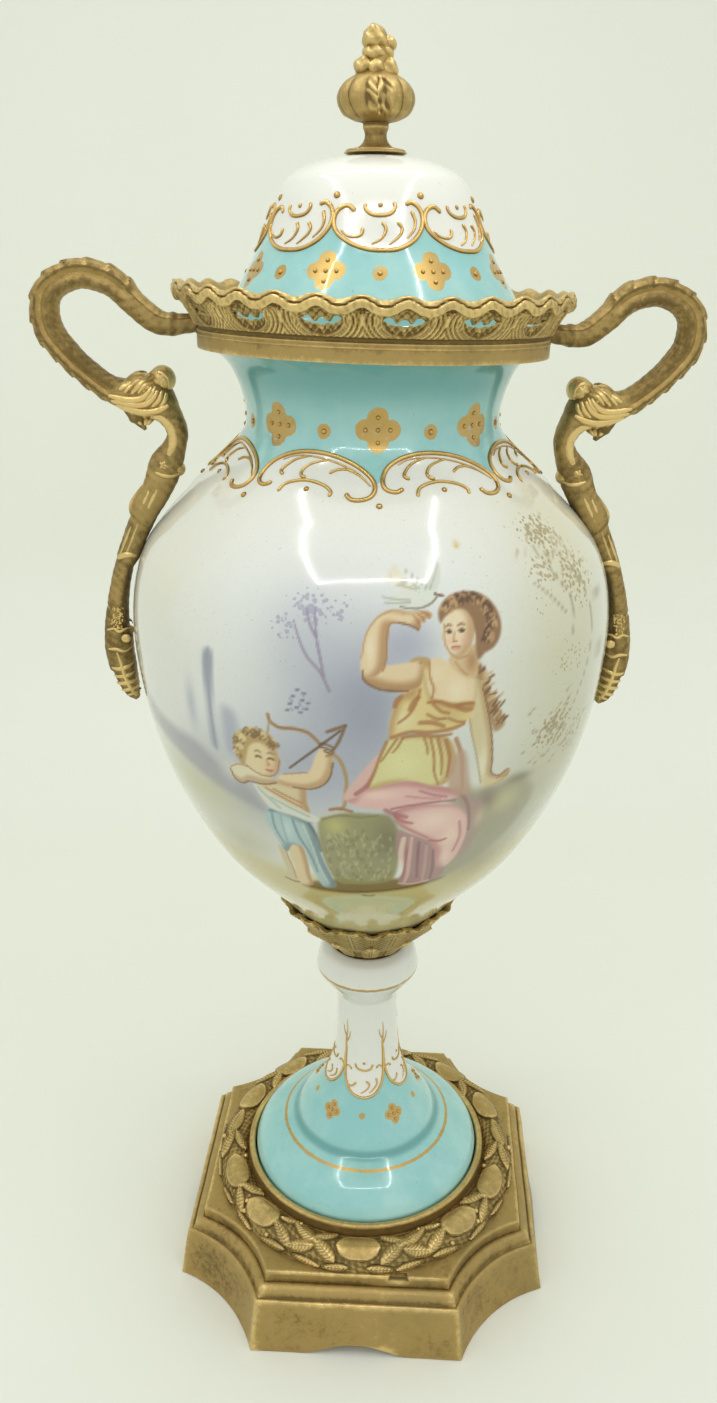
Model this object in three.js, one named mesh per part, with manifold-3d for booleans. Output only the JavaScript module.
// Covered mantel urn: porcelain body, foot and lid in gilt cast mounts.
// Millimetres, +Z up. The origin is under the middle of the plinth, and the handles reach out along X.
// Angles round the axis are measured from the front, -Y, towards +X.
import * as THREE from 'three';
import { mergeVertices } from 'three/addons/utils/BufferGeometryUtils.js';
import Module from 'manifold-3d';

const wasm = await Module();
wasm.setup();

const degrees = Math.PI / 180;

// ---- Driving dimensions ----------------------------------------------------------------------------

const totalHeight = 380;
const gap = 0.3; // left between two pieces that touch

// The urn is held together by a rod, and its two halves have turned and tipped a little on it.
const plinthTurn = -5.6 * degrees;
const rimTilt = 1.2 * degrees;

const plinth = {
  height: 18, halfFoot: 62, halfTop: 59.2, // the block, splayed towards the floor
  cornerShare: 0.548, // half a straight side, as a share of the half width
  cornerDip: 0.072, // how far a corner is hollowed, as a share of the half width
  plateHalf: 53.8, plateFoot: 21.3, plateTop: 25.2,
  archHalf: 18, archRise: 4, wall: 5.5,
};
const wreath = { inner: 43.2, outer: 52.4, top: 30.8, leaves: 16, relief: 0.7 };
const footRing = { inner: 39.8, outer: 42, top: 33.2 };

const foot = { radius: 39.3, edgeTop: 33.6, lineRadius: 28.7, stepRadius: 24.2, waist: 10.1 };
const stemKnob = { radius: 16.8, height: 109.5, top: 116.2 };

const collar = { leaves: 12, top: 137.8, rim: 29, relief: 0.8 };

const body = {
  base: 118.6, widest: 68.6, widestHeight: 227, neck: 34.7, neckHeight: 288,
  lip: 45.4, lipTop: 309, wall: 4, floorTop: 133,
};
const gallery = { band: 47, bandFoot: 304.1, bandTop: 308.4, flare: 52.4, top: 320.4, lobes: 32, relief: 1.1 };
const lid = { flange: 44.8, foot: 309.3, top: 351.2, wall: 3 };
const finial = { foot: 351.5, disc: 7.55, bulb: 9.6, bulbHeight: 363.2, lobes: 12, relief: 0.45 };

const bodySides = 30; // facets round the body, shared with the hollow cut for it in the handles
const ringSides = 64;

// ---- Materials -------------------------------------------------------------------------------------

const turquoise = new THREE.MeshStandardMaterial({ color: 0x86c2c0, roughness: 0.18, metalness: 0 });
const white = new THREE.MeshStandardMaterial({ color: 0xdfe4da, roughness: 0.18, metalness: 0 });
const gilt = new THREE.MeshStandardMaterial({ color: 0xa88a4c, roughness: 0.4, metalness: 0.9 });

// ---- Shape helpers ---------------------------------------------------------------------------------

// A smooth outline through a few [radius, height] points.
function smooth(points, divisions) {
  const curve = new THREE.SplineCurve(points.map(([radius, height]) => new THREE.Vector2(radius, height)));
  return curve.getPoints(divisions).map((point) => [point.x, point.y]);
}

// The same outline moved towards the axis by a wall's thickness, square to the outline.
function inset(outline, thickness) {
  return outline.map(([radius, height], index) => {
    const before = outline[Math.max(index - 1, 0)];
    const after = outline[Math.min(index + 1, outline.length - 1)];
    const length = Math.hypot(after[0] - before[0], after[1] - before[1]);
    const outward = [(after[1] - before[1]) / length, -(after[0] - before[0]) / length];
    return [radius - outward[0] * thickness, height - outward[1] * thickness];
  });
}

// A turned solid. The outline runs up the outside, and either starts and ends on the axis or closes.
function turned(outline, sides) {
  const points = outline.map(([radius, height]) => new THREE.Vector2(Math.max(radius, 0), height));
  return new THREE.LatheGeometry(points, sides).rotateX(Math.PI / 2);
}

function closed(outline) {
  return [...outline, outline[0]];
}

// Moves each vertex of a turned solid: shape(angle, radius, height) gives the new radius and height.
function carve(geometry, shape) {
  const position = geometry.attributes.position;
  for (let i = 0; i < position.count; i += 1) {
    const radius = Math.hypot(position.getX(i), position.getY(i));
    const angle = Math.atan2(position.getX(i), -position.getY(i));
    const [newRadius, newHeight] = shape(angle, radius, position.getZ(i));
    const scale = radius > 0 ? newRadius / radius : 1;
    position.setXYZ(i, position.getX(i) * scale, position.getY(i) * scale, newHeight);
  }
  return geometry;
}

// A solid through a stack of rings, each a loop of as many points, with both ends closed.
function stacked(rings) {
  const count = rings[0].length;
  const centre = (ring) => ring.reduce((sum, point) => sum.add(point), new THREE.Vector3()).divideScalar(count);
  const vertices = [...rings.flat(), centre(rings[0]), centre(rings[rings.length - 1])];
  const bottom = vertices.length - 2;
  const top = vertices.length - 1;
  const faces = [];
  for (let j = 0; j < count; j += 1) {
    const next = (j + 1) % count;
    const last = (rings.length - 1) * count;
    faces.push(bottom, next, j, top, last + j, last + next);
    for (let i = 0; i < rings.length - 1; i += 1) {
      const low = i * count;
      const high = low + count;
      faces.push(low + j, low + next, high + next, low + j, high + next, high + j);
    }
  }
  return new THREE.BufferGeometry().setFromPoints(vertices).setIndex(faces);
}

function toManifold(geometry) {
  const bare = geometry.clone();
  bare.deleteAttribute('normal');
  bare.deleteAttribute('uv');
  const welded = mergeVertices(bare, 1e-4);
  const faces = [];
  for (let i = 0; i < welded.index.count; i += 3) {
    const [a, b, c] = [0, 1, 2].map((corner) => welded.index.getX(i + corner));
    if (a !== b && b !== c && c !== a) faces.push(a, b, c);
  }
  const vertProperties = new Float32Array(welded.attributes.position.array);
  return new wasm.Manifold(new wasm.Mesh({ numProp: 3, vertProperties, triVerts: new Uint32Array(faces) }));
}

function toGeometry(manifold) {
  const mesh = manifold.getMesh();
  const geometry = new THREE.BufferGeometry();
  geometry.setAttribute('position', new THREE.BufferAttribute(mesh.vertProperties, 3));
  geometry.setIndex(new THREE.BufferAttribute(mesh.triVerts, 1));
  geometry.computeVertexNormals();
  return geometry;
}

const tilt = new THREE.Matrix4().set(1, 0, 0, 0, 0, 1, 0, 0, -Math.tan(rimTilt), 0, 1, 0, 0, 0, 0, 1);

// ---- Plinth, wreath and foot ring ------------------------------------------------------------------

// An octagon with four long sides and four hollow corners, counter-clockwise from above.
function plinthOutline(half, height) {
  const side = half * plinth.cornerShare;
  const dip = half * plinth.cornerDip;
  const steps = 4;
  const points = [];
  for (let corner = 0; corner < 4; corner += 1) {
    const turn = corner * 90 * degrees;
    for (let i = 0; i <= steps; i += 1) {
      const along = i / steps;
      const hollow = dip * 4 * along * (1 - along) * Math.SQRT1_2;
      const x = side + (half - side) * along - hollow;
      const y = -half + (half - side) * along + hollow;
      points.push(new THREE.Vector3(
        x * Math.cos(turn) - y * Math.sin(turn),
        x * Math.sin(turn) + y * Math.cos(turn),
        height,
      ));
    }
  }
  return points;
}

// The tunnel under one pair of long sides, with an S-curved end to each arch.
function archTunnel() {
  const { archHalf, archRise, halfFoot } = plinth;
  const arch = new THREE.Shape();
  arch.moveTo(-archHalf, -1);
  arch.lineTo(-archHalf, 0);
  arch.bezierCurveTo(-archHalf * 0.7, 0, -archHalf * 0.62, archRise, 0, archRise);
  arch.bezierCurveTo(archHalf * 0.62, archRise, archHalf * 0.7, 0, archHalf, 0);
  arch.lineTo(archHalf, -1);
  const depth = halfFoot * 2 + 4;
  const tunnel = new THREE.ExtrudeGeometry(arch, { depth, bevelEnabled: false, curveSegments: 4 });
  return tunnel.translate(0, 0, -depth / 2).rotateX(Math.PI / 2);
}

function plinthGeometry() {
  const { height, halfFoot, halfTop, plateHalf, plateFoot, plateTop, wall, archRise } = plinth;
  const block = stacked([
    plinthOutline(halfFoot, 0),
    plinthOutline(halfTop, height),
    plinthOutline(halfTop - 1.6, height + 0.3),
    plinthOutline(halfTop - 2, height + 1.4),
    plinthOutline(plateHalf + 2, plateFoot - 0.6),
    plinthOutline(plateHalf, plateFoot),
    plinthOutline(plateHalf, plateTop),
  ]);
  const hollow = stacked([plinthOutline(halfFoot - wall, -1), plinthOutline(halfFoot - wall, archRise)]);

  const foot = plateTop - 0.6; // sunk into the plate, so that the casting is one piece
  const moulding = turned(closed([
    [wreath.outer, foot],
    [wreath.outer, plateTop + 1.2],
    [wreath.outer - 1.4, wreath.top - 1.8],
    [(wreath.inner + wreath.outer) / 2, wreath.top],
    [footRing.outer + 0.6, wreath.top - 2],
    [footRing.outer, footRing.top],
    [footRing.inner, footRing.top],
    [footRing.inner, foot],
  ]), ringSides);
  carve(moulding, (angle, radius, z) => {
    const onLeaves = radius > wreath.inner && z > plateTop;
    const leaf = onLeaves ? Math.cos(angle * wreath.leaves) * wreath.relief : 0;
    return [radius + leaf * 0.5, z + leaf];
  });

  return toGeometry(
    toManifold(block)
      .subtract(toManifold(hollow))
      .subtract(toManifold(archTunnel()))
      .subtract(toManifold(archTunnel().rotateZ(90 * degrees)))
      .add(toManifold(moulding)),
  ).rotateZ(plinthTurn);
}

// ---- Foot, stem and leaf collar --------------------------------------------------------------------

function footGeometry() {
  const seat = plinth.plateTop + gap;
  return turned([
    [0, seat],
    [foot.radius, seat],
    [foot.radius, foot.edgeTop],
    [foot.radius - 1.6, foot.edgeTop + 3.6],
    [foot.radius - 5.3, foot.edgeTop + 7.1],
    [foot.lineRadius, 43.6],
    [foot.stepRadius + 1, 45.4],
    [foot.stepRadius - 0.4, 47.4],
    ...smooth([[22.4, 50.6], [15.8, 59.4], [12.1, 68.2], [10.7, 76.8], [foot.waist, 91]], 7),
    [10.3, 97],
    ...smooth([[11.3, 99.1], [16.4, 106.2], [stemKnob.radius, stemKnob.height], [15.4, 114.2]], 5),
    [12.6, stemKnob.top],
    [0, stemKnob.top],
  ], 22);
}

function collarGeometry() {
  const { leaves, top, rim, relief } = collar;
  const cup = turned([
    [0, stemKnob.top + gap],
    [12.4, stemKnob.top + gap],
    [17.6, 122.8],
    [21.8, 126.8],
    [25.8, 132.8],
    [rim, top - 0.6],
    [rim - 0.8, top],
    [24.8, 133.9],
    [18.9, 126.2],
    [11.6, body.base - gap],
    [0, body.base - gap],
  ], leaves * 3);
  return carve(cup, (angle, radius, z) => {
    const reach = THREE.MathUtils.smoothstep(z, 120, top);
    const leaf = Math.cos(angle * leaves) * relief * reach;
    const onRim = z > top - 1;
    const onOutside = radius > 17 && z < top - 1 && radius > 20 + (z - 126.8) * 0.7;
    return [radius + (onOutside ? leaf * 0.5 : 0), z + (onRim ? leaf - relief : 0)];
  });
}

// ---- Body, rim and lid -----------------------------------------------------------------------------

const bodyOutline = smooth([
  [11, body.base + 0.4],
  [20.6, 129],
  [31.3, 142.5],
  [48.9, 163.4],
  [62.9, 193.8],
  [body.widest, body.widestHeight],
  [64.9, 250.6],
  [51.2, 267.8],
  [38.2, 280.2],
  [body.neck, body.neckHeight],
  [38.4, 300],
  [body.lip, 306.6],
], 19);

function bodyGeometry() {
  const inside = inset(bodyOutline, body.wall).filter(([, height]) => height > body.floorTop + 4);
  return turned([
    [0, body.base],
    ...bodyOutline,
    [body.lip, body.lipTop],
    [body.lip - body.wall, body.lipTop],
    ...inside.reverse().filter((_, index) => index % 2 === 1),
    [10, body.floorTop + 0.8],
    [0, body.floorTop],
  ], bodySides);
}

function galleryGeometry() {
  const { band, bandFoot, bandTop, flare, top, lobes, relief } = gallery;
  const inside = body.lip + 0.4;
  const ring = turned(closed([
    [inside, bandFoot],
    [band, bandFoot],
    [band, bandTop],
    [band - 0.3, bandTop + 0.8],
    [band + 1.8, bandTop + 4.2],
    [flare, top - 2.2],
    [flare - 0.6, top],
    [flare - 2.2, top - 0.6],
    [inside, bandTop + 1],
  ]), ringSides);
  return carve(ring, (angle, radius, z) => {
    const lobe = z > top - 3 ? Math.cos(angle * lobes) * relief : 0;
    return [radius + lobe * 0.4, z + lobe - (z > top - 1 ? relief : 0)];
  }).applyMatrix4(tilt);
}

function lidGeometry() {
  const dome = smooth([
    [40.2, 313.4],
    [31.9, 326.6],
    [25.2, 342],
    [20.6, 347.2],
    [11.5, 350.4],
    [0, lid.top],
  ], 8);
  const inside = inset(dome, lid.wall).reverse().filter(([radius]) => radius > 1);
  return turned([
    [0, lid.top - lid.wall],
    ...inside,
    [38, lid.foot],
    [lid.flange, lid.foot],
    [lid.flange, lid.foot + 1.2],
    ...dome,
  ], 26);
}

function finialGeometry() {
  const { foot: base, disc, bulb, bulbHeight, lobes, relief } = finial;
  const turnedShape = turned([
    [0, base],
    [disc, base],
    [disc, base + 0.9],
    [4.8, 353.2],
    [2.7, 355],
    [3, 357.6],
    [5.4, 359.2],
    [8.3, 360.6],
    [bulb, bulbHeight],
    [9, 366],
    [6.4, 368.6],
    [5.1, 369.6],
    [5.9, 371.8],
    [4.4, 374.2],
    [4.1, 376.6],
    [3, 379.2],
    [0, totalHeight],
  ], lobes * 2);
  return carve(turnedShape, (angle, radius, z) => {
    const onBulb = z > 358 && z < 369;
    return [radius + (onBulb ? Math.cos(angle * lobes) * relief : 0), z];
  });
}

// ---- Handles ---------------------------------------------------------------------------------------

// The middle line of the +X handle from the rim to the leaf end on the body:
// reach from the axis, height, half thickness in the handle's plane, half width across it.
const handleStations = [
  [46.4, 310, 2.4, 3.6],
  [52.6, 309.3, 2.7, 3.8],
  [57.6, 309.9, 3.2, 4],
  [62.9, 313.9, 3.3, 4.2],
  [68.6, 319, 3.7, 4.2],
  [76, 320.9, 3.7, 4.2],
  [82.4, 318.8, 3.6, 4.2],
  [86, 314.4, 3.6, 4.2],
  [85.7, 307.2, 3.7, 4.2],
  [81, 300.7, 3.4, 4.2],
  [75.8, 295.9, 3.3, 4.2],
  [70.4, 292.2, 3.5, 4.4],
  [64.6, 290.4, 4.9, 5],
  [59.6, 289.8, 5.8, 5.4],
  [55.8, 286, 3.5, 4.6],
  [53.8, 281.4, 2.8, 3.9],
  [54.6, 277.6, 3.1, 4],
  [57.4, 272.2, 4.5, 4.6],
  [59.9, 266.2, 4.1, 4.9],
  [64.8, 257.2, 3.4, 4.9],
  [70, 245, 3.1, 4.7],
  [73, 233, 3.4, 4.9],
  [74.2, 220.4, 4, 5.2],
  [73.3, 211.4, 3.6, 4.9],
  [71.8, 205.6, 2.5, 3.8],
  [70, 202.6, 0.8, 1.6],
];

// A bar of rounded oblong section along stations of [reach, height, half thickness, half width].
function bar(stations, steps, sides) {
  const line = new THREE.CatmullRomCurve3(stations.map(([x, z]) => new THREE.Vector3(x, 0, z)));
  const sizes = new THREE.CatmullRomCurve3(stations.map(([, , thick, wide]) => new THREE.Vector3(thick, wide, 0)));
  const across = new THREE.Vector3(0, 1, 0);
  const squarer = (value) => Math.sign(value) * Math.abs(value) ** 0.75;
  const rings = [];
  for (let i = 0; i <= steps; i += 1) {
    const centre = line.getPoint(i / steps);
    const size = sizes.getPoint(i / steps);
    const side = new THREE.Vector3().crossVectors(across, line.getTangent(i / steps)).normalize();
    rings.push(Array.from({ length: sides }, (_, j) => {
      const angle = (j + 0.5) / sides * 2 * Math.PI;
      return centre.clone()
        .addScaledVector(side, squarer(Math.cos(angle)) * size.x)
        .addScaledVector(across, squarer(Math.sin(angle)) * size.y);
    }));
  }
  return stacked(rings);
}

function knob(x, z, radius, width) {
  return new THREE.SphereGeometry(radius, 8, 6).scale(1, width / radius, 1).translate(x, 0, z);
}

// What a handle must stay clear of: the rim, tilted as it is, and the body.
function handleClearance() {
  const { band, bandFoot, bandTop, flare, top } = gallery;
  const rimSide = turned([
    [0, bandFoot - 2],
    [band + gap, bandFoot - 2],
    [band + gap, bandTop + 0.4],
    [band + 1.9 + gap, bandTop + 4],
    [flare + gap * 2, top - 2.2],
    [flare, top + 2],
    [0, top + 2],
  ], ringSides).applyMatrix4(tilt);
  const bodySide = turned([
    [0, body.base],
    ...inset(bodyOutline, -1.6 * gap).filter(([, height]) => height > 190 && height < 290),
    [0, 290],
  ], bodySides);
  return toManifold(rimSide).add(toManifold(bodySide));
}

function handleGeometry(side) {
  const leafTip = bar([[66, 288.6, 2.6, 3.4], [64.4, 285, 2, 2.6], [62.8, 281.6, 0.5, 0.9]], 4, 6);
  const whole = toManifold(bar(handleStations, 38, 8))
    .add(toManifold(leafTip))
    .add(toManifold(knob(56.9, 295.2, 3.5, 4.4)))
    .add(toManifold(knob(54.2, 271.2, 2.1, 2.6)));
  const placed = side > 0 ? toGeometry(whole) : toGeometry(whole).rotateZ(Math.PI);
  return toGeometry(toManifold(placed.applyMatrix4(tilt)).subtract(handleClearance()));
}

// ---- The urn ---------------------------------------------------------------------------------------

function piece(name, geometry, material) {
  const mesh = new THREE.Mesh(geometry, material);
  mesh.name = name;
  return mesh;
}

const urn = new THREE.Group();
urn.add(
  piece('plinth', plinthGeometry(), gilt),
  piece('foot_stem', footGeometry(), turquoise),
  piece('leaf_collar', collarGeometry(), gilt),
  piece('body', bodyGeometry(), white),
  piece('rim_gallery', galleryGeometry(), gilt),
  piece('handle_left', handleGeometry(-1), gilt),
  piece('handle_right', handleGeometry(1), gilt),
  piece('lid', lidGeometry(), turquoise),
  piece('finial', finialGeometry(), gilt),
);

export default urn;
